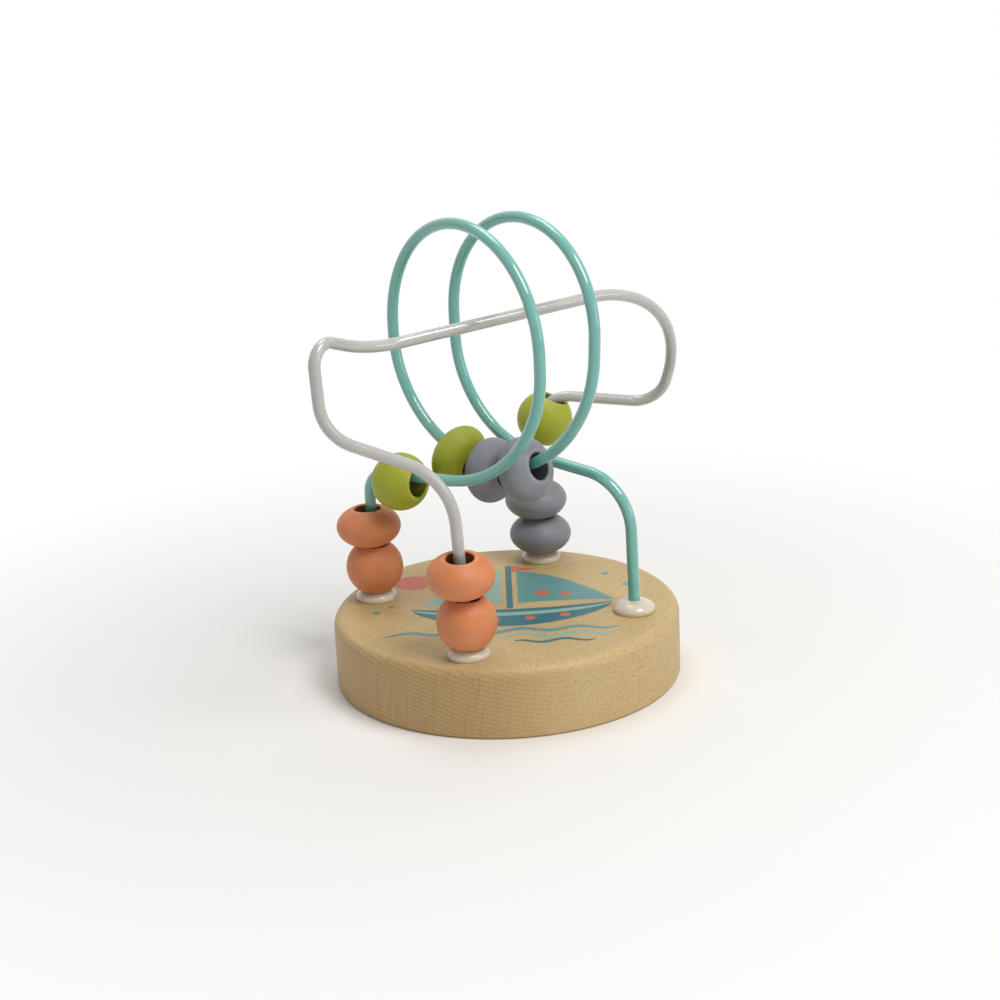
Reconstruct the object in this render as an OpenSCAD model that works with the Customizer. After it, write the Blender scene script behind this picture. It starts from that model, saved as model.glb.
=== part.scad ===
// A small bead maze toy: a round wooden base, two bent wires and beads threaded on them.
// X runs along the axis of the coil, Z is up, and the origin is the middle of the underside.
// All lengths are in millimetres.

/* [Base] */

// Diameter of the round base
base_d = 120; // [90:1:160]
// Height of the base
base_h = 24.5; // [16:0.5:40]
// Radius of the round along the top edge
top_round = 4; // [1:0.5:8]
// Bevel along the bottom edge
foot_bevel = 1; // [0.2:0.1:3]

/* [Feet of the wires] */

// Distance of the coil wire's first foot from the rim of the base
left_inset = 13; // [11:0.5:18]
// Distance of the coil wire's second foot from the rim of the base
right_inset = 14.5; // [11:0.5:18]
// Distance of the pale wire's first foot from the rim of the base
front_inset = 11.5; // [11:0.5:18]
// Distance of the pale wire's second foot from the rim of the base
back_inset = 12.5; // [11:0.5:18]
// Place of the coil wire's first foot, as an angle from X
left_angle = 120.5; // [115:0.5:130]
// Place of the coil wire's second foot, as an angle from X
right_angle = 299; // [290:0.5:305]
// Place of the pale wire's first foot, as an angle from X
front_angle = 209.5; // [200:0.5:215]
// Place of the pale wire's second foot, as an angle from X
back_angle = 28; // [20:0.5:35]
// Rise of a leaning leg's first bend above its cap
lean_rise = 3; // [2.5:0.5:6]
// Share of the wire below a leaning leg's first bend that is bent
lean_share = 0.08; // [0.04:0.01:0.08]

/* [Wire] */

// Thickness of both wires
wire_d = 4; // [3:0.1:5]
// Sides of the wire's section
wire_sides = 16; // [8:1:24]
// Angle between two sections of a bend
bend_angle = 7.5; // [4:0.5:12]

/* [Coil wire] */

// Rise of the first leg above the base
left_rise = 46.5; // [40:0.5:55]
// Bend radius at the top of the first leg
left_bend = 8; // [6:0.5:14]
// Rise of the second leg above the base
right_rise = 45.5; // [40:0.5:55]
// Lean of the second leg toward the loops
right_lean = 1; // [0.5:0.1:2]
// Share of the second run taken by the bend at the top of the second leg
right_share = 0.23; // [0.2:0.01:0.4]
// Share of the first run taken by the bend into the loops
entry_share = 0.52; // [0.4:0.01:0.6]
// Share of the second run taken by the bend out of the loops
exit_share = 0.505; // [0.4:0.005:0.6]
// Rise of the lowest point between the loops above the base
coil_low = 50; // [46:0.5:60]
// Rise of the first run's end above the base
entry_low = 51; // [46:0.5:60]
// Rise of the second run's start above the base
exit_low = 53; // [46:0.5:60]
// Shortest straight between the half loops
loop_straight = 2; // [1:0.1:10]
// X of the first loop's near side from the first leg
coil_lead = 9.8; // [6:0.1:12]
// Y of the first loop's near side from the second leg
near_inset = 5.8; // [2:0.1:10]
// Y of the first loop's far side from the first leg
far_outset = 3.3; // [0:0.1:5]
// Advance of the coil over the top of the first loop
over_advance = 8.7; // [5:0.1:12]
// Advance of the coil over the top of the second loop
second_advance = 5.3; // [4:0.1:12]
// Advance of the coil underneath, from the first loop to the top of the second
under_advance = 13.2; // [10:0.1:18]
// Shift of the near side outward from one loop to the next
near_drift = 6.3; // [0:0.1:8]
// Shift of the far side inward from one loop to the next
far_drift = 11.6; // [0:0.1:12]
// X of the second loop's near side from its bottom to its top
near_sweep = 6.9; // [2:0.1:8]
// Y of the second loop's near side from its bottom to its top
near_swing = 0.9; // [0:0.1:3]

/* [Pale wire] */

// Rise of the first leg above the base
front_rise = 60; // [50:0.5:66]
// Bend radius at the top of the first leg
front_bend = 25.5; // [20:0.5:36]
// Lean of the first leg along X
front_lean_x = -1.4; // [-2:0.1:-0.5]
// Lean of the first leg along Y
front_lean_y = 2.4; // [0.5:0.1:3]
// X of the left end
left_end_x = -77.5; // [-84:0.5:-66]
// Y of the left end's lower corner
left_low_y = -0.5; // [-6:0.5:8]
// Y of the left end's upper corner
left_high_y = 1.5; // [-6:0.5:8]
// Rise of the left end's lower corner above the base
left_end_low = 78.5; // [72:0.5:84]
// Rise of the left end's upper corner above the base
left_end_high = 109; // [104:0.5:114]
// Bend radius of the left end's lower corner
left_low_bend = 16.5; // [10:0.5:22]
// Bend radius of the left end's upper corner
left_high_bend = 7; // [4:0.5:8]
// X of the dip in the upper run
dip_x = -51.5; // [-56:0.5:-48]
// Y of the dip in the upper run
dip_y = 4.5; // [0:0.5:10]
// Rise of the dip above the base
dip_rise = 100; // [96:0.5:104]
// Bend radius of the dip
dip_bend = 41; // [20:0.5:44]
// X of the right end's upper corner
right_high_x = 67.5; // [62:0.5:76]
// Y of the right end's upper corner
right_high_y = -33.5; // [-40:0.5:-24]
// X of the right end's lower corner
right_low_x = 72; // [62:0.5:76]
// Y of the right end's lower corner
right_low_y = -10.5; // [-20:0.5:-4]
// Rise of the right end's upper corner above the base
right_end_high = 109; // [104:0.5:114]
// Rise of the right end's lower corner above the base
right_end_low = 58; // [52:0.5:60]
// Bend radius of the right end's upper corner
right_high_bend = 39.5; // [20:0.5:40]
// Bend radius of the right end's lower corner
right_low_bend = 11.5; // [6:0.5:12]
// Rise of the second leg above the base
back_rise = 63; // [58:0.5:70]
// Bend radius at the top of the second leg
back_bend = 12; // [11.5:0.5:16]

/* [Caps] */

// Diameter of the dome around each foot
cap_d = 14.4; // [12:0.1:20]
// Height of the dome
cap_rise = 4.2; // [2.5:0.1:5]
// Height of the dome's widest part
cap_rim = 0.8; // [0.4:0.1:1.2]
// Diameter of the shank in the base
shank_d = 8; // [6:0.5:10]
// Length of the shank in the base
shank_len = 9; // [5:0.5:12]

/* [Fixings underneath] */

// Diameter of the pocket below each foot
pocket_d = 14; // [12:0.5:18]
// Depth of the pocket
pocket_depth = 9; // [6:0.5:12]
// Diameter of the push-on washer
washer_d = 12; // [9:0.5:13]
// Thickness of the push-on washer
washer_t = 1.2; // [0.8:0.1:2]
// Length of wire below the washer
wire_tail = 1.5; // [1:0.1:2]
// Thickness of the wooden plug
plug_t = 5; // [3:0.5:6]
// Depth of the plug below the underside
plug_sink = 0.3; // [0.1:0.1:1]

/* [Beads] */

// Diameter of the round beads
round_d = 20; // [18:0.5:22]
// Length of the round beads
round_len = 16.5; // [15:0.5:17]
// Diameter of the round beads' ends
round_edge_d = 11.3; // [10.5:0.1:12]
// Diameter of the flat beads
flat_d = 22.5; // [20:0.5:24]
// Length of the flat beads
flat_len = 13; // [11:0.5:14]
// Diameter of the flat beads' ends
flat_edge_d = 11.2; // [10.5:0.1:13]
// Diameter of the bore in every bead
bore_d = 9.2; // [8.6:0.1:9.6]
// Bevel at each mouth of the bore
mouth = 0.4; // [0.2:0.1:0.6]
// Tilt of the upper bead on the pale wire's first leg
front_tilt = 8; // [0:0.5:10]
// Sideways lean of the upper bead on a leg
stack_lean = 1.2; // [0:0.1:1.5]
// Place of the run's bead, along the run from the first leg's corner
run_place = 14; // [14:0.5:18]
// First place tried for the first coil bead, as an angle round the lower half loop
coil_first_angle = 60; // [55:1:65]
// Place of the top bead in the second leg's bend, as an angle from the bend's start
back_bead_angle = 72; // [60:0.5:90]

/* [Clearances] */

// Gap of fitted pieces
fit_gap = 0.05; // [0.02:0.01:0.1]
// Gap of a bead from what it rests on
rest_gap = 0.3; // [0.2:0.05:0.5]
// Room more between the middles of the first coil bead and the run's bead
bead_clear = 5.6; // [1:0.1:8]
// Gap more between the coil's beads and the wire above them
glide_gap = 0.5; // [0.3:0.1:0.8]
// Overrun of cuts
overrun = 1; // [0.5:0.5:2]

/* [Hidden] */

$fn = 96;
full_angle = 360;
half_angle = full_angle / 2;
base_r = base_d / 2;
wire_r = wire_d / 2;
hole_r = wire_r + fit_gap;
pocket_r = pocket_d / 2;
cap_r = cap_d / 2;
bore_r = bore_d / 2;
mouth_r = bore_r + mouth;
dome_rise = cap_rise - cap_rim;
washer_top = pocket_depth - fit_gap;
wire_end = washer_top - washer_t - wire_tail;
joint_share = 0.01;
half_share = 0.5;
lean_z = base_h + cap_rise + lean_rise;

FEET = ["left", "right", "front", "back"];
LEFT = 0;
RIGHT = 1;
FRONT = 2;
BACK = 3;
foot_insets = [left_inset, right_inset, front_inset, back_inset];
foot_angles = [left_angle, right_angle, front_angle, back_angle];

// Point of a foot, at a height above the underside
function foot(i, z) =
    let (r = base_r - foot_insets[i])
    [r * cos(foot_angles[i]), r * sin(foot_angles[i]), z];

// Bent routes: corner points p and bend radii r, with a bend at each inner corner
function unit(v) = v / norm(v);
function inner_half(p, i) = acos(unit(p[i - 1] - p[i]) * unit(p[i + 1] - p[i])) / 2;
function bend_turn(p, i) = half_angle - 2 * inner_half(p, i);
function bend_way_in(p, i) = unit(p[i] - p[i - 1]);
function bend_way_out(p, i) = unit(p[i + 1] - p[i]);
function bend_reach(p, r, i) = r[i] / tan(inner_half(p, i));
function bend_start(p, r, i) = p[i] - bend_way_in(p, i) * bend_reach(p, r, i);
function bend_end(p, r, i) = p[i] + bend_way_out(p, i) * bend_reach(p, r, i);
function bend_centre(p, r, i) =
    p[i] + unit(bend_way_out(p, i) - bend_way_in(p, i)) * r[i] / sin(inner_half(p, i));
function bend_out(p, r, i) = unit(bend_start(p, r, i) - bend_centre(p, r, i));
function bend_point(p, r, i, w, shift) =
    bend_centre(p, r, i) + (r[i] + shift) * (cos(w) * bend_out(p, r, i) + sin(w) * bend_way_in(p, i));
function bend_way(p, r, i, w) = cos(w) * bend_way_in(p, i) - sin(w) * bend_out(p, r, i);
function bend_for(p, i, from, share) = share * norm(p[i] - p[from]) * tan(inner_half(p, i));
function bend_steps(p, i) = ceil(bend_turn(p, i) / bend_angle);

// True where a bend follows the last one with no straight between
function joins(p, r, i) =
    i > 1 && norm(bend_start(p, r, i) - bend_end(p, r, i - 1)) < wire_r * joint_share;

// Sections of a route, each a point and the way the wire runs there
function bend_sections(p, r, i) =
    let (n = bend_steps(p, i), first = joins(p, r, i) ? 1 : 0)
    [for (k = [first : n])
        let (w = bend_turn(p, i) * k / n)
        [bend_point(p, r, i, w, 0), bend_way(p, r, i, w)]];
function sections(p, r) =
    let (last = len(p) - 1)
    concat(
        [[p[0], bend_way_in(p, 1)]],
        [for (i = [1 : last - 1]) for (s = bend_sections(p, r, i)) s],
        [[p[last], bend_way_in(p, last)]]
    );

// Side directions carried along a route without twist
function carried(n, way) = unit(n - (n * way) * way);
function sides(s, i, n) =
    i == len(s) ? [] : let (m = carried(n, s[i][1])) concat([m], sides(s, i + 1, m));

// Corner points and bends of the coil wire, whose loops keep to its two feet
left_foot = foot(LEFT, 0);
right_foot = foot(RIGHT, 0);
near_1 = [left_foot[0] + coil_lead, right_foot[1] + near_inset];
far_1 = [near_1[0] + over_advance, left_foot[1] + far_outset];
near_2 = [far_1[0] + under_advance, near_1[1] - near_drift];
far_2 = [near_2[0] + second_advance, far_1[1] - far_drift];
below_2 = near_2 - [near_sweep, near_swing];
over_r_1 = norm(far_1 - near_1) / 2;
under_r = norm(below_2 - far_1) / 2;
over_r_2 = norm(far_2 - near_2) / 2;
low_z = base_h + coil_low;
top_z = low_z + under_r + loop_straight + max(over_r_1, over_r_2);
function up_to(q, z) = [q[0], q[1], z];

coil_corners = [
    foot(LEFT, wire_end),
    foot(LEFT, base_h + left_rise),
    up_to(near_1, base_h + entry_low),
    up_to(near_1, top_z),
    up_to(far_1, top_z),
    up_to(far_1, low_z),
    up_to(below_2, low_z),
    up_to(near_2, top_z),
    up_to(far_2, top_z),
    up_to(far_2, base_h + exit_low),
    foot(RIGHT, base_h + right_rise) - [right_lean, 0, 0],
    foot(RIGHT, lean_z),
    foot(RIGHT, wire_end)
];
coil_bends = [
    0,
    left_bend,
    bend_for(coil_corners, 2, 1, entry_share),
    bend_for(coil_corners, 3, 4, half_share),
    bend_for(coil_corners, 4, 3, half_share),
    bend_for(coil_corners, 5, 6, half_share),
    bend_for(coil_corners, 6, 5, half_share),
    bend_for(coil_corners, 7, 8, half_share),
    bend_for(coil_corners, 8, 7, half_share),
    bend_for(coil_corners, 9, 10, exit_share),
    bend_for(coil_corners, 10, 9, right_share),
    bend_for(coil_corners, 11, 12, lean_share),
    0
];
left_corner = 1;
under_corner = 5;

// Corner points and bends of the pale wire
pale_corners = [
    foot(FRONT, wire_end),
    foot(FRONT, lean_z),
    foot(FRONT, base_h + front_rise) + [front_lean_x, front_lean_y, 0],
    [left_end_x, left_low_y, base_h + left_end_low],
    [left_end_x, left_high_y, base_h + left_end_high],
    [dip_x, dip_y, base_h + dip_rise],
    [right_high_x, right_high_y, base_h + right_end_high],
    [right_low_x, right_low_y, base_h + right_end_low],
    foot(BACK, base_h + back_rise),
    foot(BACK, wire_end)
];
pale_bends = [
    0, bend_for(pale_corners, 1, 0, lean_share), front_bend, left_low_bend, left_high_bend,
    dip_bend, right_high_bend, right_low_bend, back_bend, 0
];
back_corner = 8;

// Heights of the beads on a leg: the lowest bead's mouth sits over the dome
dome_share = mouth_r / cap_r;
seat_z = base_h + fit_gap + cap_rim + dome_rise * sqrt(1 - dome_share * dome_share);
function first_z(len) = seat_z + rest_gap + len / 2;
function next_z(below, len) = first_z(below) + below / 2 + rest_gap + len / 2;
lean = stack_lean * unit([-1, 1, 0]);
tilt_way = cos(front_tilt) * [0, 0, 1] + sin(front_tilt) * unit([-1, -1, 0]);
tilt_rise = sin(front_tilt) * flat_edge_d / 2;

// A bead on a bend hangs clear of the wire, which bows across its bore
bore_play = bore_r - wire_r - rest_gap;
function bow(r, len) = r - sqrt(r * r - len * len / 4);
function hang(len) = bore_play - glide_gap - bow(under_r, len);
function under_bead(angle, len) =
    bend_point(coil_corners, coil_bends, under_corner, angle, hang(len));
function under_way(angle) = bend_way(coil_corners, coil_bends, under_corner, angle);
coil_room = 2 * atan((flat_len + rest_gap) / (2 * (under_r + hang(flat_len)) - flat_edge_d));

// The run's bead hangs from the first run, and the coil's first bead keeps clear of it
run_way = bend_way_out(coil_corners, left_corner);
run_down = unit([0, 0, -1] + run_way[2] * run_way);
run_at = coil_corners[left_corner] + run_place * run_way + bore_play * run_down;
clear_angles = [for (angle = [coil_first_angle : 1 : half_angle])
    if (norm(under_bead(angle, flat_len) - run_at) > round_d / 2 + flat_len / 2 + bead_clear) angle];
coil_far_angle = clear_angles[0];
coil_mid_angle = coil_far_angle + coil_room;
coil_near_angle = coil_mid_angle + coil_room;

// Swept wire with a many-sided section
module wire(p, r) {
    s = sections(p, r);
    n = sides(s, 0, [1, 0, 0]);
    last = len(s) - 1;
    points = [for (i = [0 : last])
        for (k = [0 : wire_sides - 1])
            let (w = full_angle * k / wire_sides)
            s[i][0] + wire_r * (cos(w) * n[i] + sin(w) * cross(s[i][1], n[i]))];
    faces = [for (i = [0 : last - 1])
        for (k = [0 : wire_sides - 1])
            let (a = i * wire_sides + k, b = i * wire_sides + (k + 1) % wire_sides)
            for (half = [[a, a + wire_sides, b], [b, a + wire_sides, b + wire_sides]])
                half];
    first_end = [for (k = [0 : wire_sides - 1]) k];
    last_end = [for (k = [wire_sides - 1 : -1 : 0]) last * wire_sides + k];
    polyhedron(points, concat(faces, [first_end, last_end]), convexity = 10);
}

module base_profile() {
    square([base_r - top_round, base_h]);
    translate([base_r - top_round, base_h - top_round])
        circle(r = top_round);
    translate([0, foot_bevel])
        square([base_r, base_h - foot_bevel - top_round]);
    polygon([[0, 0], [base_r - foot_bevel, 0], [base_r, foot_bevel], [0, foot_bevel]]);
}

module foot_bores(i) {
    translate(foot(i, -overrun))
        cylinder(r = hole_r, h = base_h + 2 * overrun);
    translate(foot(i, base_h - shank_len - fit_gap))
        cylinder(d = shank_d + 2 * fit_gap, h = shank_len + fit_gap + overrun);
    translate(foot(i, -overrun))
        cylinder(r = pocket_r, h = pocket_depth + overrun);
}

module base() {
    color("burlywood")
        difference() {
            rotate_extrude()
                base_profile();
            for (i = [LEFT : BACK])
                foot_bores(i);
        }
}

module coil_wire() {
    color("mediumaquamarine")
        wire(coil_corners, coil_bends);
}

module pale_wire() {
    color("gainsboro")
        wire(pale_corners, pale_bends);
}

module dome_profile() {
    intersection() {
        translate([0, cap_rim])
            scale([1, dome_rise / cap_r])
                circle(r = cap_r);
        square([cap_r, cap_rise]);
    }
}

module cap(i) {
    color("ivory")
        translate(foot(i, base_h + fit_gap))
            difference() {
                union() {
                    rotate_extrude()
                        dome_profile();
                    translate([0, 0, -shank_len])
                        cylinder(d = shank_d, h = shank_len);
                }
                translate([0, 0, -shank_len - overrun])
                    cylinder(r = hole_r, h = shank_len + cap_rise + 2 * overrun);
            }
}

module washer(i) {
    color("silver")
        translate(foot(i, washer_top - washer_t))
            difference() {
                cylinder(d = washer_d, h = washer_t);
                translate([0, 0, -overrun])
                    cylinder(r = hole_r, h = washer_t + 2 * overrun);
            }
}

module plug(i) {
    color("wheat")
        translate(foot(i, plug_sink))
            cylinder(r = pocket_r - fit_gap, h = plug_t);
}

module bead_profile(d, len, edge_d) {
    edge_share = edge_d / d;
    bulge_share = len / d / sqrt(1 - edge_share * edge_share);
    difference() {
        intersection() {
            scale([1, bulge_share])
                circle(d = d);
            translate([0, -len / 2])
                square([d / 2, len]);
        }
        translate([0, -len / 2 - overrun])
            square([bore_r, len + 2 * overrun]);
        for (end = [-1, 1])
            polygon([
                [0, end * (len / 2 - mouth)],
                [bore_r, end * (len / 2 - mouth)],
                [mouth_r + overrun, end * (len / 2 + overrun)],
                [0, end * (len / 2 + overrun)]
            ]);
    }
}

// A bead with its middle at a point and its bore along a direction
module bead(at, way, d, len, edge_d) {
    translate(at)
        rotate([0, acos(way[2]), atan2(way[1], way[0])])
            rotate_extrude()
                bead_profile(d, len, edge_d);
}

module round_bead(at, way, tint) {
    color(tint)
        bead(at, way, round_d, round_len, round_edge_d);
}

module flat_bead(at, way, tint) {
    color(tint)
        bead(at, way, flat_d, flat_len, flat_edge_d);
}

module left_round_bead() {
    round_bead(foot(LEFT, first_z(round_len)), [0, 0, 1], "coral");
}

module left_flat_bead() {
    flat_bead(foot(LEFT, next_z(round_len, flat_len)) + lean, [0, 0, 1], "coral");
}

module run_round_bead() {
    round_bead(run_at, run_way, "yellowgreen");
}

module coil_far_bead() {
    flat_bead(under_bead(coil_far_angle, flat_len), under_way(coil_far_angle), "yellowgreen");
}

module coil_mid_bead() {
    flat_bead(under_bead(coil_mid_angle, flat_len), under_way(coil_mid_angle), "gray");
}

module coil_near_bead() {
    flat_bead(under_bead(coil_near_angle, flat_len), under_way(coil_near_angle), "gray");
}

module front_round_bead() {
    round_bead(foot(FRONT, first_z(round_len)), [0, 0, 1], "coral");
}

module front_flat_bead() {
    flat_bead(foot(FRONT, next_z(round_len, flat_len) + tilt_rise) + lean, tilt_way, "coral");
}

module back_low_bead() {
    flat_bead(foot(BACK, first_z(flat_len)), [0, 0, 1], "gray");
}

module back_mid_bead() {
    flat_bead(foot(BACK, next_z(flat_len, flat_len)) + lean, [0, 0, 1], "gray");
}

module back_round_bead() {
    at = bend_point(pale_corners, pale_bends, back_corner, back_bead_angle, -bore_play);
    way = bend_way(pale_corners, pale_bends, back_corner, back_bead_angle);
    round_bead(at, way, "yellowgreen");
}

base();
coil_wire();
pale_wire();
for (i = [LEFT : BACK]) {
    cap(i);
    washer(i);
    plug(i);
}
left_round_bead();
left_flat_bead();
run_round_bead();
coil_far_bead();
coil_mid_bead();
coil_near_bead();
front_round_bead();
front_flat_bead();
back_low_bead();
back_mid_bead();
back_round_bead();
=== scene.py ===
"""Looks of a small bead maze, built around its CAD frame.

A round beech base carries two bent, coated wires with painted wooden beads on them.
The new pieces are grids of points worked out with numpy, in metres, in the CAD frame.
"""

import logging
import math
from dataclasses import dataclass, field
from enum import Enum

import bpy
import numpy as np
from mathutils import Matrix, Vector


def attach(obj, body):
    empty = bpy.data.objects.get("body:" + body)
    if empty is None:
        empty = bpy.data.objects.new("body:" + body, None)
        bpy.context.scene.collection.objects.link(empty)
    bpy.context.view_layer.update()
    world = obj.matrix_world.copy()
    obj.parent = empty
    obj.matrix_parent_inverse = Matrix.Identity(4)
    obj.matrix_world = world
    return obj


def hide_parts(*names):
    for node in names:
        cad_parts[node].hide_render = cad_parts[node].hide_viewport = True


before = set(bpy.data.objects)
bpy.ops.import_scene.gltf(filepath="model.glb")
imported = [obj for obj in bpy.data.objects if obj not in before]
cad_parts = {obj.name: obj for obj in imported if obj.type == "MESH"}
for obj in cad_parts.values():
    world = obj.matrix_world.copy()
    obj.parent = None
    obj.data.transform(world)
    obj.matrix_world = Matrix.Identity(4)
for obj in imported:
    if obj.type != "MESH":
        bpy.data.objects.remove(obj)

LOG = logging.getLogger("bead_maze")
MM = 0.001
UP = np.array([0.0, 0.0, 1.0])
EAST = np.array([1.0, 0.0, 0.0])
NORTH = np.array([0.0, 1.0, 0.0])
Array = np.ndarray
Socket = bpy.types.NodeSocket
Outputs = bpy.types.bpy_prop_collection
Triple = tuple[float, float, float]


class Slot(Enum):
    """Kinds of material of the new pieces."""

    TEAL_COATING = "teal_coating"
    PALE_COATING = "pale_coating"
    CAP_PLASTIC = "cap_plastic"
    ORANGE_PAINT = "orange_paint"
    GREEN_PAINT = "green_paint"
    GREY_PAINT = "grey_paint"


class Form(Enum):
    """The two shapes of bead."""

    ROUND = "round"
    FLAT = "flat"


class Ink(Enum):
    """The four inks printed on the base."""

    DEEP_TEAL = "deep_teal"
    MID_TEAL = "mid_teal"
    LIGHT_TEAL = "light_teal"
    CORAL = "coral"


def linear(shown: Triple, part: float = 1.0) -> Triple:
    """A display colour of 0 to 255 as linear light, or a part of that light.

    Args:
        shown: Red, green and blue, 0 to 255.
        part: The part of the light that is kept.

    Returns:
        The three linear values.
    """
    share = np.array(shown) / 255
    light = np.where(share <= 0.04045, share / 12.92, ((share + 0.055) / 1.055) ** 2.4)
    return tuple(float(x) * part for x in light)


def unit(vector: Array) -> Array:
    """Vectors along the last axis, each divided by its length."""
    return vector / np.linalg.norm(vector, axis=-1, keepdims=True)


def lengths(line: Array) -> Array:
    """Length along a line of points, from its first point to each of them."""
    return np.concatenate(([0.0], np.cumsum(np.linalg.norm(np.diff(line, axis=0), axis=1))))


def around(a: Array, b: Array, columns: int) -> Array:
    """Directions cos t a + sin t b, with t once round, on a new axis before the last one."""
    turn = np.linspace(0, 2 * math.pi, columns, endpoint=False)[:, None]
    return np.cos(turn) * a[..., None, :] + np.sin(turn) * b[..., None, :]


RIGHT = unit(EAST - NORTH)
AWAY = unit(EAST + NORTH)


# Surfaces


@dataclass
class Surface:
    """A grid of points that becomes one closed mesh.

    Rows run along a path or a profile, and columns run round it.

    Attributes:
        points: Grid of shape (rows, columns, 3).
        ring: Whether the last row joins the first, as in a profile with a bore.
        along: A length for each row, kept as the second UV value.
        wear_and_bore_shade: A mask for each row, 1 at an edge that wear has thinned, and -1 inside a bore,
            whose paint is darkened as painted shade.
        ends: Whether the first and last row of an open surface are closed by a face.
    """

    points: Array
    ring: bool
    along: Array
    wear_and_bore_shade: Array
    ends: bool = True

    def cells(self) -> list[Array]:
        """Row and column numbers of the quads' first corners, as two grids."""
        rows, columns = self.points.shape[:2]
        return np.meshgrid(np.arange(rows if self.ring else rows - 1), np.arange(columns), indexing="ij")

    def quads(self) -> Array:
        """Corner numbers of the quads, in an order that faces outwards.

        Returns:
            An array of shape (quads, 4).
        """
        rows, columns = self.points.shape[:2]
        i, j = self.cells()
        here = i * columns
        after = (i + 1) % rows * columns
        j_next = (j + 1) % columns
        return np.stack((here + j, here + j_next, after + j_next, after + j), axis=-1).reshape(-1, 4)

    def quad_uv(self) -> Array:
        """UV of the quads' corners: share of a turn, and the length along the rows.

        Returns:
            An array of shape (quads * 4, 2).
        """
        i, j = self.cells()
        step = float(self.along[1] - self.along[0])
        along = np.append(self.along, self.along[-1] + step)
        u = np.stack((j, j + 1, j + 1, j), axis=-1) / self.points.shape[1]
        v = along[np.stack((i, i, i + 1, i + 1), axis=-1)]
        return np.stack((u, v), axis=-1).reshape(-1, 2)

    def build(self, name: str) -> bpy.types.Object:
        """Makes the mesh object, at the origin, smooth, with its UV map and its attribute of rim wear and
        painted bore shade.

        The ends of a surface that isn't a ring are closed by one many-sided face each.

        Args:
            name: Name of the piece.

        Returns:
            The object.
        """
        rows, columns = self.points.shape[:2]
        faces = self.quads().tolist()
        uv = self.quad_uv()
        if self.ends and not self.ring:
            first = np.arange(columns)[::-1]
            last = np.arange(columns) + (rows - 1) * columns
            faces += [first.tolist(), last.tolist()]
            uv = np.concatenate((uv, np.zeros((2 * columns, 2))))
        mesh = bpy.data.meshes.new(name)
        mesh.from_pydata(self.points.reshape(-1, 3).tolist(), [], faces)
        mesh.uv_layers.new(name="around_and_along").data.foreach_set("uv", uv.astype(np.float32).ravel())
        wear_and_bore_shade = mesh.attributes.new("wear_and_bore_shade", "FLOAT", "POINT")
        wear_and_bore_shade.data.foreach_set("value", np.repeat(self.wear_and_bore_shade, columns).astype(np.float32))
        mesh.polygons.foreach_set("use_smooth", np.ones(len(mesh.polygons), bool))
        return link(mesh)


def link(mesh: bpy.types.Mesh) -> bpy.types.Object:
    """Puts a mesh into the scene as an object of the same name.

    Args:
        mesh: The mesh.

    Returns:
        The object.
    """
    mesh.validate()
    mesh.update()
    piece = bpy.data.objects.new(mesh.name, mesh)
    bpy.context.scene.collection.objects.link(piece)
    return piece


def softened(outline: Array, reach: float) -> Array:
    """A closed outline with each corner replaced by a short curve.

    Each corner becomes three points of the parabola that leaves one side and meets the next,
    starting at most reach from the corner and at most a share of the side's length.

    Args:
        outline: Corner points of shape (corners, 2).
        reach: How far the curve reaches along the sides, in metres.

    Returns:
        The new points, three for each corner.
    """
    most = 0.45
    before = np.roll(outline, 1, axis=0) - outline
    after = np.roll(outline, -1, axis=0) - outline
    back = np.minimum(reach / np.linalg.norm(before, axis=1), most)[:, None]
    on = np.minimum(reach / np.linalg.norm(after, axis=1), most)[:, None]
    start = outline + before * back
    end = outline + after * on
    middle = start / 4 + outline / 2 + end / 4
    return np.stack((start, middle, end), axis=1).reshape(-1, 2)


def revolved(outline: Array, middle: Array, way: Array, columns: int, wear_and_bore_shade: Array) -> Surface:
    """A closed half section turned round an axis.

    A point of the section at radius q and height s goes to middle + s way + q (cos t a + sin t b),
    where a and b are square to the way and t goes once round.

    Args:
        outline: Radius and height of the section's points, outer side upwards first.
        middle: The point on the axis at height 0.
        way: Unit direction of the axis.
        columns: Points round the axis.
        wear_and_bore_shade: Mask for each point of the section: rim wear at the edges, and -1 inside the bore
            for painted shade.

    Returns:
        The surface.
    """
    other = EAST if abs(way[0]) < 0.9 else NORTH
    a = unit(np.cross(way, other))
    q = outline[:, 0][:, None, None]
    s = outline[:, 1][:, None, None]
    points = middle + s * way + q * around(a, np.cross(way, a), columns)
    return Surface(points, True, lengths(outline), wear_and_bore_shade)


# Wires


@dataclass(frozen=True)
class Bend:
    """One arc of a wire: its centre, radius, first outward direction, first way and turn."""

    centre: Array
    radius: float
    out: Array
    way: Array
    turn: float

    def at(self, angle: Array, shift: float = 0.0) -> Array:
        """Points on the arc.

        The point at angle w is centre + (radius + shift) (cos w out + sin w way).

        Args:
            angle: Angles from the arc's start, in radians.
            shift: Distance outwards from the arc.

        Returns:
            The points.
        """
        w = np.asarray(angle)[..., None]
        return self.centre + (self.radius + shift) * (np.cos(w) * self.out + np.sin(w) * self.way)

    def way_at(self, angle: Array) -> Array:
        """Ways of the arc: cos w way - sin w out at angle w.

        Args:
            angle: Angles from the arc's start, in radians.

        Returns:
            Unit directions.
        """
        w = np.asarray(angle)[..., None]
        return np.cos(w) * self.way - np.sin(w) * self.out


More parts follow.
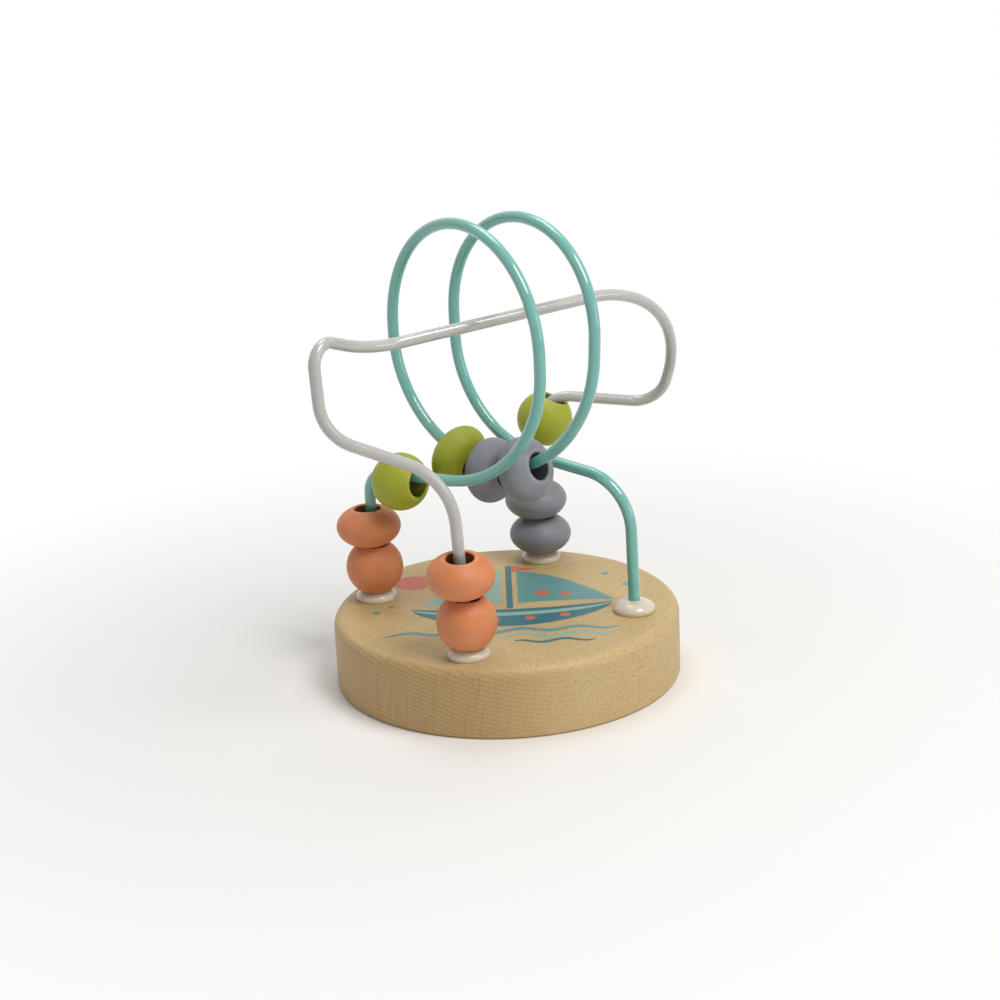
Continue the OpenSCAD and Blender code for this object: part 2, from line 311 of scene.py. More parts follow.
@dataclass(frozen=True)
class Route:
    """Corner points joined by straight runs, with an arc at each inner corner."""

    corners: Array
    radii: Array

    def inner_half(self, i: int) -> float:
        """Half of the inner angle at a corner.

        Args:
            i: Number of the corner.

        Returns:
            The angle in radians.
        """
        back = unit(self.corners[i - 1] - self.corners[i])
        on = unit(self.corners[i + 1] - self.corners[i])
        return float(np.arccos(back @ on)) / 2

    def radius_for(self, i: int, other: int, share: float) -> float:
        """Radius of the arc at corner i that takes up a share of the run to another corner.

        Args:
            i: Number of the corner.
            other: Number of the next or last corner.
            share: Share of the run.

        Returns:
            The radius.
        """
        run = float(np.linalg.norm(self.corners[i] - self.corners[other]))
        return share * run * math.tan(self.inner_half(i))

    def bend(self, i: int) -> Bend:
        """The arc at corner i, tangent to the runs on both sides.

        Its centre lies on the line that halves the corner, radius / sin(inner half) away.

        Args:
            i: Number of the corner.

        Returns:
            The arc.
        """
        half = self.inner_half(i)
        way = unit(self.corners[i] - self.corners[i - 1])
        on = unit(self.corners[i + 1] - self.corners[i])
        radius = float(self.radii[i])
        centre = self.corners[i] + unit(on - way) * radius / math.sin(half)
        start = self.corners[i] - way * radius / math.tan(half)
        return Bend(centre, radius, unit(start - centre), way, math.pi - 2 * half)

    def line(self, step: float) -> tuple[Array, Array]:
        """Points and ways along the whole route.

        Args:
            step: Turn between two points of an arc, in radians.

        Returns:
            Points and unit directions, each of shape (points, 3).
        """
        last = len(self.corners) - 1
        points = [self.corners[:1]]
        ways = [unit(self.corners[1] - self.corners[0])[None]]
        for i in range(1, last):
            bend = self.bend(i)
            angles = np.linspace(0, bend.turn, max(3, math.ceil(bend.turn / step)))
            points.append(bend.at(angles))
            ways.append(bend.way_at(angles))
        points.append(self.corners[last:])
        ways.append(unit(self.corners[last] - self.corners[last - 1])[None])
        every = np.concatenate(points)
        way = np.concatenate(ways)
        least = 0.01 * MM
        apart = np.linalg.norm(np.diff(every, axis=0), axis=1) > least
        keep = np.concatenate(([True], apart))
        return every[keep], way[keep]


def tube(route: Route, side: Array, radius: float, columns: int, step: float) -> Surface:
    """A round wire carried along a route.

    A point is c + radius (cos t a + sin t b) round the centre line's point c,
    where a is the given side made square to the way and b is way x a.

    Args:
        route: The centre line.
        side: A direction that the route never runs along.
        radius: Radius of the wire.
        columns: Points round the wire.
        step: Turn between two sections of a bend, in radians.

    Returns:
        The surface.
    """
    centre, way = route.line(step)
    a = unit(side - (way @ side)[:, None] * way)
    points = centre[:, None] + radius * around(a, np.cross(way, a), columns)
    return Surface(points, False, lengths(centre), np.zeros(len(centre)))


# Node sheets


@dataclass
class Sheet:
    """A node tree that is being filled, with short calls to add and join nodes."""

    tree: bpy.types.NodeTree

    def put(self, value: object, target: Socket) -> None:
        """Joins a socket to an input, or sets the input's value.

        Args:
            value: A socket, a number or a tuple.
            target: The input.
        """
        if isinstance(value, bpy.types.NodeSocket):
            self.tree.links.new(value, target)
        elif isinstance(value, tuple) and target.type == "RGBA":
            target.default_value = (*value, 1.0)
        else:
            target.default_value = value

    def add(self, kind: str, inputs: dict[str | int, object], **settings: object) -> Outputs:
        """Adds a node, makes its settings, and sets or joins its inputs.

        Args:
            kind: Blender's name of the node, less its first part.
            inputs: Values or sockets, by the input's name or number.
            **settings: The node's own settings.

        Returns:
            The node's outputs.
        """
        node = self.tree.nodes.new(f"ShaderNode{kind}")
        for name, value in settings.items():
            setattr(node, name, value)
        for key, value in inputs.items():
            self.put(value, node.inputs[key])
        return node.outputs

    def calc(self, operation: str, a: object, b: object = 0.0, c: object = 0.0) -> Socket:
        """The value of an operation of the Math node on a, b and c."""
        return self.add("Math", {0: a, 1: b, 2: c}, operation=operation)[0]

    def times(self, a: object, b: object) -> Socket:
        """The product of a and b."""
        return self.calc("MULTIPLY", a, b)

    def plus(self, a: object, b: object, c: object) -> Socket:
        """The product of a and b, plus c."""
        return self.calc("MULTIPLY_ADD", a, b, c)

    def rest(self, value: Socket) -> Socket:
        """What is missing to 1."""
        return self.calc("SUBTRACT", 1.0, value)

    def parts(self, vector: Socket) -> Outputs:
        """The three values of a vector."""
        return self.add("SeparateXYZ", {"Vector": vector})

    def stretched(self, vector: Socket, sizes: Triple, turn: Triple = (0.0, 0.0, 0.0)) -> Socket:
        """Coordinates for a pattern that has the given sizes along three turned axes.

        Args:
            vector: Coordinates in metres.
            sizes: Size of the pattern along each of its axes, in millimetres.
            turn: Turn of its axes about X, Y and Z, in radians.

        Returns:
            The output socket.
        """
        scale = tuple(size * MM for size in sizes)
        inputs = {"Vector": vector, "Scale": scale, "Rotation": turn}
        return self.add("Mapping", inputs, vector_type="TEXTURE")[0]

    def noise(self, vector: Socket, detail: float) -> Socket:
        """A noise value of about 0.2 to 0.8, on coordinates that already have its size."""
        return self.add("TexNoise", {"Vector": vector, "Scale": 1.0, "Detail": detail})[0]

    def step(self, value: Socket, low: float, high: float) -> Socket:
        """A smooth rise from 0 at low to 1 at high."""
        inputs = {"Value": value, "From Min": low, "From Max": high}
        return self.add("MapRange", inputs, interpolation_type="SMOOTHSTEP")[0]

    def spread(self, value: Socket, low: float, high: float) -> Socket:
        """A noise value spread straight from 0.25 and 0.75 to low and high."""
        inputs = {"Value": value, "From Min": 0.25, "From Max": 0.75, "To Min": low, "To Max": high}
        return self.add("MapRange", inputs)[0]

    def mix(self, share: object, a: object, b: object) -> Socket:
        """A colour between a and b, by the share of b."""
        return self.add("Mix", {0: share, 6: a, 7: b}, data_type="RGBA")[2]

    def bump(self, height: Socket, distance: float, **bent: Socket) -> Socket:
        """A normal bent by a height whose 1 is a distance in metres, after the Normal that may be given."""
        inputs = {"Strength": 1.0, "Distance": distance, "Height": height, **bent}
        return self.add("Bump", inputs)[0]

    def group(self, tree: bpy.types.NodeTree, **inputs: object) -> Outputs:
        """Places a node group with its inputs."""
        return self.add("Group", inputs, node_tree=tree)

    def seen(self) -> Socket:
        """1 for rays that start at the camera or come by way of a mirror or glass, else 0.

        Returns:
            The output socket.
        """
        path = self.add("LightPath", {})
        mirrored = self.calc("MAXIMUM", path["Is Glossy Ray"], path["Is Transmission Ray"])
        return self.calc("MAXIMUM", path["Is Camera Ray"], mirrored)


@dataclass(frozen=True)
class Effect:
    """A shader node group with a Vector input: its name, other inputs and outputs, which are floats."""

    name: str
    inputs: tuple[str, ...]
    outputs: tuple[str, ...]

    def start(self) -> tuple[Sheet, Outputs]:
        """Makes the group's tree with its sockets.

        Returns:
            The sheet and the values that the group is given.
        """
        tree = bpy.data.node_groups.new(self.name, "ShaderNodeTree")
        tree.interface.new_socket(name="Vector", in_out="INPUT", socket_type="NodeSocketVector")
        for name in self.inputs:
            tree.interface.new_socket(name=name, in_out="INPUT", socket_type="NodeSocketFloat")
        for name in self.outputs:
            tree.interface.new_socket(name=name, in_out="OUTPUT", socket_type="NodeSocketFloat")
        return Sheet(tree), tree.nodes.new("NodeGroupInput").outputs

    def end(self, sheet: Sheet, *values: Socket) -> bpy.types.NodeTree:
        """Joins values to the group's outputs.

        Args:
            sheet: The group's sheet.
            *values: The values, in the order of the outputs.

        Returns:
            The group.
        """
        made = sheet.tree.nodes.new("NodeGroupOutput")
        for name, value in zip(self.outputs, values):
            sheet.put(value, made.inputs[name])
        return sheet.tree


def grain_effect() -> bpy.types.NodeTree:
    """Beech grain in the solid, with the fibre near X and the rays upright.

    Dashes lie along the fibre, short on the top and the long sides, and are dots on the end grain.
    Rays are thin upright sheets, which show as upright lines on the end grain.
    Rings are wide cylinders along the fibre, with their pith far below the base.
    Each darkens to a thin line.

    Returns:
        The group, which puts out the masks Dashes, Rays, Rings, Pores and Tone.
    """
    pith_across, pith_below = 30.0, 150.0
    ring_pitch, ring_wander = 1.5, 5.0
    fibre = (0.0, math.radians(-5), math.radians(8))
    upright = (math.radians(7), 0.0, math.radians(8))
    effect = Effect("beech_grain", (), ("Dashes", "Rays", "Rings", "Pores", "Tone"))
    sheet, given = effect.start()
    place = given["Vector"]
    dashes = sheet.noise(sheet.stretched(place, (3.6, 0.42, 0.42), fibre), 1.5)
    rays = sheet.noise(sheet.stretched(place, (2.6, 0.38, 18.0), upright), 1.5)
    pores = sheet.noise(sheet.stretched(place, (1.6, 0.16, 0.16), fibre), 1.0)
    wander = sheet.noise(sheet.stretched(place, (80.0, 30.0, 30.0), fibre), 2.0)
    parts = sheet.parts(sheet.stretched(place, (1.0, 1.0, 1.0), fibre))
    across = sheet.calc("SUBTRACT", parts[1], pith_across)
    height = sheet.calc("ADD", parts[2], pith_below)
    square = sheet.plus(across, across, sheet.times(height, height))
    reach = sheet.plus(wander, ring_wander, sheet.calc("SQRT", square))
    phase = sheet.calc("FRACT", sheet.calc("DIVIDE", reach, ring_pitch))
    rings = sheet.calc("SUBTRACT", sheet.step(phase, 0.45, 0.9), sheet.step(phase, 0.9, 1.0))
    return effect.end(
        sheet, sheet.step(dashes, 0.5, 0.7), sheet.step(rays, 0.47, 0.68), rings,
        sheet.step(pores, 0.55, 0.75), sheet.step(wander, 0.3, 0.7),
    )


def mottle_effect() -> bpy.types.NodeTree:
    """Faint unevenness of a coat: soft patches and fine orange peel.

    Returns:
        The group, which puts out Patches and Peel; its Patch input is the patches' size in millimetres.
    """
    effect = Effect("coat_mottle", ("Patch",), ("Patches", "Peel"))
    sheet, given = effect.start()
    place = sheet.stretched(given["Vector"], (1.0, 1.0, 1.0))
    finer = sheet.calc("DIVIDE", 1.0, given["Patch"])
    scaled = sheet.add("VectorMath", {0: place, "Scale": finer}, operation="SCALE")[0]
    peel = sheet.noise(sheet.stretched(given["Vector"], (0.7, 0.7, 0.7)), 1.0)
    return effect.end(sheet, sheet.noise(scaled, 3.0), peel)


def turning_effect() -> bpy.types.NodeTree:
    """Marks of the lathe on a bead: uneven fine rings by the length along its section, and painted shade
    inside its bore.

    Returns:
        The group, which puts out Rings, Worn and Inside, the mask of painted shade inside the bore; its
        inputs are Along in metres and the mask Wear, which is -1 in the bore.
    """
    ring_width = 0.55 * MM
    effect = Effect("turning_marks", ("Along", "Wear"), ("Rings", "Worn", "Inside"))
    sheet, given = effect.start()
    along = sheet.calc("DIVIDE", given["Along"], ring_width)
    rings = sheet.add("TexNoise", {"W": along, "Scale": 1.0, "Detail": 2.0}, noise_dimensions="1D")[0]
    patchy = sheet.noise(sheet.stretched(given["Vector"], (2.5, 2.5, 2.5)), 3.0)
    worn = sheet.times(sheet.step(patchy, 0.3, 0.65), sheet.step(given["Wear"], 0.45, 0.95))
    # Painted shade: the rows marked -1 inside the bore give a mask that darkens the paint there.
    shaded_bore = sheet.step(sheet.times(given["Wear"], -1.0), 0.2, 0.9)
    return effect.end(sheet, sheet.step(rings, 0.3, 0.7), worn, shaded_bore)


@dataclass
class Effects:
    """The shared node groups, each built once."""

    grain: bpy.types.NodeTree = field(default_factory=grain_effect)
    mottle: bpy.types.NodeTree = field(default_factory=mottle_effect)
    turning: bpy.types.NodeTree = field(default_factory=turning_effect)


@dataclass
class MaterialSheet(Sheet):
    """The node tree of a material, with the shared node groups at hand."""

    effects: Effects

    def place(self) -> Socket:
        """The object coordinates."""
        return self.add("TexCoord", {})["Object"]

    def grain(self) -> Outputs:
        """Masks of the beech grain."""
        return self.group(self.effects.grain, Vector=self.place())

    def mottle(self, patch: float) -> Outputs:
        """Unevenness of a coat, with patches of a size in millimetres."""
        return self.group(self.effects.mottle, Vector=self.place(), Patch=patch)


# Finishes


@dataclass(frozen=True)
class Finish:
    """The finish of a surface. Colours are display values of 0 to 255, and patches are in millimetres."""

    name: str

    def values(self, sheet: MaterialSheet) -> dict[str, object]:
        """Fills in the sheet.

        Args:
            sheet: The material's sheet.

        Returns:
            Values and sockets for the shader's inputs, by name.
        """
        raise NotImplementedError

    def make(self, effects: Effects) -> bpy.types.Material:
        """Makes the material.

        Args:
            effects: The shared node groups.

        Returns:
            The material.
        """
        material = bpy.data.materials.new(self.name)
        material.use_nodes = True
        sheet = MaterialSheet(material.node_tree, effects)
        shader = material.node_tree.nodes["Principled BSDF"]
        for name, value in self.values(sheet).items():
            sheet.put(value, shader.inputs[name])
        return material


@dataclass(frozen=True)
class BeechFinish(Finish):
    """Sanded beech with a thin satin coat."""

    pale: Triple
    ray: Triple
    ring: Triple
    end: Triple
    pore_depth: float = 0.02 * MM

    def values(self, sheet: MaterialSheet) -> dict[str, object]:
        """Darkens the end grain by rings and rays, and the other sides by dashes and pores.

        Args:
            sheet: The material's sheet.

        Returns:
            Values and sockets for the shader's inputs, by name.
        """
        grain = sheet.grain()
        facing = sheet.parts(sheet.add("TexCoord", {})["Normal"])
        end = sheet.step(sheet.calc("ABSOLUTE", facing[0]), 0.35, 0.95)
        colour = sheet.mix(sheet.times(grain["Tone"], 0.5), linear(self.pale), linear(self.ring))
        colour = sheet.mix(sheet.times(end, 0.6), colour, linear(self.end))
        strengths = {
            "Rings": sheet.plus(end, 0.4, 0.06),
            "Rays": sheet.plus(end, 0.34, 0.03),
            "Dashes": sheet.plus(sheet.rest(end), 0.36, 0.06),
            "Pores": 0.15,
        }
        for mask, strength in strengths.items():
            colour = sheet.mix(sheet.times(grain[mask], strength), colour, linear(self.ray))
        dull = sheet.plus(grain["Pores"], 0.12, 0.48)
        depth = sheet.plus(grain["Dashes"], 0.4, grain["Pores"])
        return {
            "Base Color": colour,
            "Roughness": sheet.plus(grain["Dashes"], -0.06, dull),
            "Normal": sheet.bump(sheet.rest(depth), self.pore_depth),
        }


@dataclass(frozen=True)
class InkFinish(Finish):
    """Ink printed on beech, thin enough for the grain to show in it."""

    colour: Triple
    pale: Triple
    patch: float = 6.0
    pore_depth: float = 0.015 * MM

    def values(self, sheet: MaterialSheet) -> dict[str, object]:
        """Lays the ink in faint patches, darker on the grain's dashes and paler in its pores.

        Args:
            sheet: The material's sheet.

        Returns:
            Values and sockets for the shader's inputs, by name.
        """
        grain = sheet.grain()
        mottle = sheet.mottle(self.patch)
        pale = linear(self.pale)
        colour = sheet.mix(sheet.spread(mottle["Patches"], 0.0, 0.3), linear(self.colour), pale)
        colour = sheet.mix(sheet.times(grain["Dashes"], 0.3), colour, linear(self.colour, 0.62))
        return {
            "Base Color": sheet.mix(sheet.times(grain["Pores"], 0.25), colour, pale),
            "Roughness": sheet.spread(mottle["Peel"], 0.42, 0.52),
            "Normal": sheet.bump(sheet.rest(grain["Pores"]), self.pore_depth),
        }


@dataclass(frozen=True)
class CoatingFinish(Finish):
    """A glossy coat dipped or sprayed on wire, or moulded plastic of the same gloss."""

    colour: Triple
    shade: Triple
    rough: float
    coat: float
    coat_rough: float = 0.06
    patch: float = 14.0
    peel_depth: float = 0.0008 * MM

    def values(self, sheet: MaterialSheet) -> dict[str, object]:
        """Varies the colour and the gloss in soft patches, under a clear layer.

        Args:
            sheet: The material's sheet.

        Returns:
            Values and sockets for the shader's inputs, by name.
        """
        mottle = sheet.mottle(self.patch)
        patches = mottle["Patches"]
        return {
            "Base Color": sheet.mix(sheet.spread(patches, 0.0, 1.0), linear(self.colour), linear(self.shade)),
            "Roughness": sheet.spread(patches, self.rough * 0.8, self.rough * 1.3),
            "Normal": sheet.bump(mottle["Peel"], self.peel_depth),
            "Coat Weight": self.coat,
            "Coat Roughness": self.coat_rough,
        }


@dataclass(frozen=True)
class PaintFinish(Finish):
    """Satin paint on a turned wooden bead, worn paler along the rims, with painted shade darkening the inside
    of the bore.
    """

    colour: Triple
    shade: Triple
    worn: Triple
    patch: float = 9.0
    ring_depth: float = 0.035 * MM
    peel_depth: float = 0.02 * MM

    def values(self, sheet: MaterialSheet) -> dict[str, object]:
        """Lays the paint over the turning marks, by the UV's length and the mask of wear and bore shade, and
        paints shade into the bore.

        Args:
            sheet: The material's sheet.

        Returns:
            Values and sockets for the shader's inputs, by name.
        """
        mottle = sheet.mottle(self.patch)
        along = sheet.parts(sheet.add("UVMap", {}, uv_map="around_and_along")[0])[1]
        wear_and_bore_shade = sheet.add("Attribute", {}, attribute_name="wear_and_bore_shade")["Fac"]
        marks = sheet.group(sheet.effects.turning, Vector=sheet.place(), Along=along, Wear=wear_and_bore_shade)
        shade = linear(self.shade)
        colour = sheet.mix(sheet.spread(mottle["Patches"], 0.0, 0.8), linear(self.colour), shade)
        colour = sheet.mix(sheet.times(marks["Rings"], 0.4), colour, shade)
        colour = sheet.mix(sheet.times(marks["Worn"], 0.5), colour, linear(self.worn))
        rings = sheet.bump(marks["Rings"], self.ring_depth)
        return {
            # Painted shade: inside the bore the paint is darkened to 0.4 of its shade colour.
            "Base Color": sheet.mix(marks["Inside"], colour, linear(self.shade, 0.4)),
            "Roughness": sheet.plus(marks["Worn"], 0.12, sheet.spread(mottle["Peel"], 0.42, 0.54)),
            "Normal": sheet.bump(mottle["Peel"], self.peel_depth, Normal=rings),
        }


@dataclass(frozen=True)
class SteelFinish(Finish):
    """Plain spring steel, turned."""

    colour: Triple
    patch: float = 3.0
    peel_depth: float = 0.01 * MM

    def values(self, sheet: MaterialSheet) -> dict[str, object]:
        """Darkens bare steel in small patches.

        Args:
            sheet: The material's sheet.

        Returns:
            Values and sockets for the shader's inputs, by name.
        """
        mottle = sheet.mottle(self.patch)
        dark = linear(self.colour, 0.6)
        return {
            "Base Color": sheet.mix(sheet.spread(mottle["Patches"], 0.0, 1.0), linear(self.colour), dark),
            "Roughness": sheet.spread(mottle["Peel"], 0.28, 0.44),
            "Normal": sheet.bump(mottle["Peel"], self.peel_depth),
            "Metallic": 1.0,
        }


@dataclass(frozen=True)
class PaperFinish(Finish):
    """Pale paper that turns white to the camera between two distances from the middle, in metres."""

    colour: Triple
    shade: Triple
    near: float
    far: float
    rough: float = 0.7
    cloud: Triple = (300.0, 300.0, 300.0)

    def values(self, sheet: MaterialSheet) -> dict[str, object]:
        """Varies the paper faintly.

        Args:
            sheet: The material's sheet.

        Returns:
            Values and sockets for the shader's inputs, by name.
        """
        cloud = sheet.noise(sheet.stretched(sheet.place(), self.cloud), 2.0)
        colour = sheet.mix(sheet.spread(cloud, 0.0, 0.5), linear(self.colour), linear(self.shade))
        return {"Base Color": colour, "Roughness": self.rough}

    def make(self, effects: Effects) -> bpy.types.Material:
        """Makes the material, and blends its shader into a white glow for rays that are seen.

        Args:
            effects: The shared node groups.

        Returns:
            The material.
        """
        material = super().make(effects)
        sheet = MaterialSheet(material.node_tree, effects)
        nodes = material.node_tree.nodes
        parts = sheet.parts(sheet.place())
        square = sheet.plus(parts[0], parts[0], sheet.times(parts[1], parts[1]))
        share = sheet.times(sheet.step(sheet.calc("SQRT", square), self.near, self.far), sheet.seen())
        glow = sheet.add("Emission", {"Color": (1.0, 1.0, 1.0), "Strength": 1.0})[0]
        blend = sheet.add("MixShader", {0: share, 1: nodes["Principled BSDF"].outputs[0], 2: glow})[0]
        sheet.put(blend, nodes["Material Output"].inputs["Surface"])
        return material


BEECH = BeechFinish("beech", (209, 184, 132), (156, 115, 66), (197, 167, 112), (188, 154, 99))
PLUG_BEECH = BeechFinish("plug_beech", (210, 182, 134), (160, 118, 74), (196, 163, 114), (188, 152, 102))
TEAL_COAT = CoatingFinish("teal_coat", (114, 189, 178), (104, 178, 167), 0.16, 1.0)
PALE_COAT = CoatingFinish("pale_coat", (194, 193, 189), (183, 181, 176), 0.16, 1.0)
CAP_PLASTIC = CoatingFinish("cap_plastic", (226, 217, 197), (217, 207, 185), 0.22, 0.4)
WASHER_STEEL = SteelFinish("washer_steel", (190, 190, 188))
FLOOR_PAPER = PaperFinish("floor_paper", (252, 252, 251), (249, 249, 248), 0.075, 0.3)
PAINTS = {
    Slot.ORANGE_PAINT: PaintFinish("orange_paint", (226, 146, 96), (210, 124, 75), (238, 181, 138)),
    Slot.GREEN_PAINT: PaintFinish("green_paint", (177, 183, 44), (159, 166, 36), (196, 200, 92)),
    Slot.GREY_PAINT: PaintFinish("grey_paint", (143, 145, 153), (127, 129, 137), (172, 173, 179)),
}
INKS = {
    Ink.DEEP_TEAL: InkFinish("deep_teal_ink", (26, 104, 116), (70, 130, 132)),
    Ink.MID_TEAL: InkFinish("mid_teal_ink", (92, 150, 150), (128, 168, 158)),
    Ink.LIGHT_TEAL: InkFinish("light_teal_ink", (142, 184, 174), (170, 194, 172)),
    Ink.CORAL: InkFinish("coral_ink", (208, 98, 70), (214, 136, 100)),
}


# Sub-assemblies


@dataclass(frozen=True)
class Base:
    """The round base and the feet that stand on it. All lengths are in metres."""

    diameter: float = 120 * MM
    height: float = 24.5 * MM
    wire_end: float = 6.25 * MM
    lean_z: float = 31.7 * MM
    lean_share: float = 0.08
    feet: tuple[tuple[str, float, float], ...] = (
        ("left", 13 * MM, 120.5), ("right", 14.5 * MM, 299.0),
        ("front", 11.5 * MM, 209.5), ("back", 12.5 * MM, 28.0),
    )

    def names(self) -> list[str]:
        """Names of the four feet."""
        return [name for name, _, _ in self.feet]

    def foot(self, name: str, z: float) -> Array:
        """The point above a foot at a height.

        Args:
            name: The foot's name.
            z: Height above the underside.

        Returns:
            The point.
        """
        _, inset, turn = self.feet[self.names().index(name)]
        angle = math.radians(turn)
        reach = self.diameter / 2 - inset
        return np.array([reach * math.cos(angle), reach * math.sin(angle), z])

    def dress(self, effects: Effects) -> None:
        """Gives the base, washers and plugs of the CAD frame their materials.

        Args:
            effects: The shared node groups.
        """
        beech = BEECH.make(effects)
        plug = PLUG_BEECH.make(effects)
        steel = WASHER_STEEL.make(effects)
        paint_node("base", beech)
        for name in self.names():
            paint_node(f"{name}_plug", plug)
            paint_node(f"{name}_washer", steel)


def paint_node(name: str, material: bpy.types.Material) -> None:
    """Puts a material on a CAD node.

    Args:
        name: Name of the node.
        material: The material.
    """
    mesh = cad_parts[name].data
    mesh.materials.clear()
    mesh.materials.append(material)
    LOG.info("%s keeps its CAD shape, in %s", name, material.name)


def place_piece(piece: bpy.types.Object, body: str, slot: Slot | None, *nodes: str) -> None:
    """Sets a piece on its CAD body in place of its CAD nodes.

    Args:
        piece: The piece.
        body: The body it moves with.
        slot: Not used.
        *nodes: The nodes that it stands for.
    """
    if nodes:
        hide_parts(*nodes)
    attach(piece, body)
    LOG.info("%s: %d vertices, on %s", piece.name, len(piece.data.vertices), body)


@dataclass(frozen=True)
class Wire:
    """A bent, coated wire, a hair thinner than its faceted CAD node so that it stays inside the CAD box."""

    name: str
    route: Route
    side: Array
    finish: CoatingFinish
    slot: Slot
    radius: float = 1.98 * MM
    columns: int = 32
    step: float = math.radians(2.5)

    def build(self, effects: Effects) -> None:
        """Builds and dresses the wire.

        Args:
            effects: The shared node groups.
        """
        surface = tube(self.route, self.side, self.radius, self.columns, self.step)
        piece = surface.build(f"{self.name}_coated")
        piece.data.materials.append(self.finish.make(effects))
        place_piece(piece, "frame", self.slot, self.name)


@dataclass(frozen=True)
class CoilSizes:
    """Sizes of the coiled wire: two upright loops between its two feet."""

    left_rise: float = 46.5 * MM
    left_bend: float = 8 * MM
    right_rise: float = 45.5 * MM
    right_lean: float = 1 * MM
    right_share: float = 0.23
    entry_share: float = 0.52
    exit_share: float = 0.505
    low: float = 50 * MM
    entry_low: float = 51 * MM
    exit_low: float = 53 * MM
    straight: float = 2 * MM
    lead: float = 9.8 * MM
    near_inset: float = 5.8 * MM
    far_outset: float = 3.3 * MM
    over_1: float = 8.7 * MM
    over_2: float = 5.3 * MM
    under: float = 13.2 * MM
    near_drift: float = 6.3 * MM
    far_drift: float = 11.6 * MM
    sweep: float = 6.9 * MM
    swing: float = 0.9 * MM

    def route(self, base: Base) -> Route:
        """The coil's route: a leg, a run, two loops of half circles and straights, a run and a leaning leg.

        Args:
            base: The base that it stands on.

        Returns:
            The route.
        """
        left = base.foot("left", 0.0)
        right = base.foot("right", 0.0)
        near_1 = np.array([left[0] + self.lead, right[1] + self.near_inset, 0.0])
        far_1 = np.array([near_1[0] + self.over_1, left[1] + self.far_outset, 0.0])
        near_2 = np.array([far_1[0] + self.under, near_1[1] - self.near_drift, 0.0])
        far_2 = np.array([near_2[0] + self.over_2, far_1[1] - self.far_drift, 0.0])
        below_2 = near_2 - np.array([self.sweep, self.swing, 0.0])
        over = max(np.linalg.norm(far_1 - near_1), np.linalg.norm(far_2 - near_2)) / 2
        under = np.linalg.norm(below_2 - far_1) / 2
        low = (base.height + self.low) * UP
        top = low + (under + self.straight + over) * UP
        corners = np.array([
            base.foot("left", base.wire_end),
            base.foot("left", base.height + self.left_rise),
            near_1 + (base.height + self.entry_low) * UP,
            near_1 + top, far_1 + top, far_1 + low, below_2 + low, near_2 + top, far_2 + top,
            far_2 + (base.height + self.exit_low) * UP,
            base.foot("right", base.height + self.right_rise) - np.array([self.right_lean, 0.0, 0.0]),
            base.foot("right", base.lean_z),
            base.foot("right", base.wire_end),
        ])
        bare = Route(corners, np.zeros(len(corners)))
        pairs = ((3, 4), (4, 3), (5, 6), (6, 5), (7, 8), (8, 7))
        loops = [bare.radius_for(i, other, 0.5) for i, other in pairs]
        radii = np.array([
            0.0, self.left_bend, bare.radius_for(2, 1, self.entry_share), *loops,
            bare.radius_for(9, 10, self.exit_share), bare.radius_for(10, 9, self.right_share),
            bare.radius_for(11, 12, base.lean_share), 0.0,
        ])
        return Route(corners, radii)


@dataclass(frozen=True)
class PaleSizes:
    """Sizes of the pale wire, which runs from one end of the toy through both loops to the other end."""

    front_rise: float = 60 * MM
    front_lean: Triple = (-1.4 * MM, 2.4 * MM, 0.0)
    back_rise: float = 63 * MM
    left_low: Triple = (-77.5 * MM, -0.5 * MM, 78.5 * MM)
    left_high: Triple = (-77.5 * MM, 1.5 * MM, 109 * MM)
    dip: Triple = (-51.5 * MM, 4.5 * MM, 100 * MM)
    right_high: Triple = (67.5 * MM, -33.5 * MM, 109 * MM)
    right_low: Triple = (72 * MM, -10.5 * MM, 58 * MM)
    radii: tuple[float, ...] = (25.5 * MM, 16.5 * MM, 7 * MM, 41 * MM, 39.5 * MM, 11.5 * MM, 12 * MM)

    def route(self, base: Base) -> Route:
        """The pale wire's route between its two feet, the first leg leaning a little.

        Args:
            base: The base that it stands on.

        Returns:
            The route.
        """
        free = np.array([self.left_low, self.left_high, self.dip, self.right_high, self.right_low])
        corners = np.concatenate((
            [base.foot("front", base.wire_end), base.foot("front", base.lean_z)],
            [base.foot("front", base.height + self.front_rise) + np.array(self.front_lean)],
            free + base.height * UP,
            [base.foot("back", base.height + self.back_rise), base.foot("back", base.wire_end)],
        ))
        bare = Route(corners, np.zeros(len(corners)))
        return Route(corners, np.array([0.0, bare.radius_for(1, 0, base.lean_share), *self.radii, 0.0]))


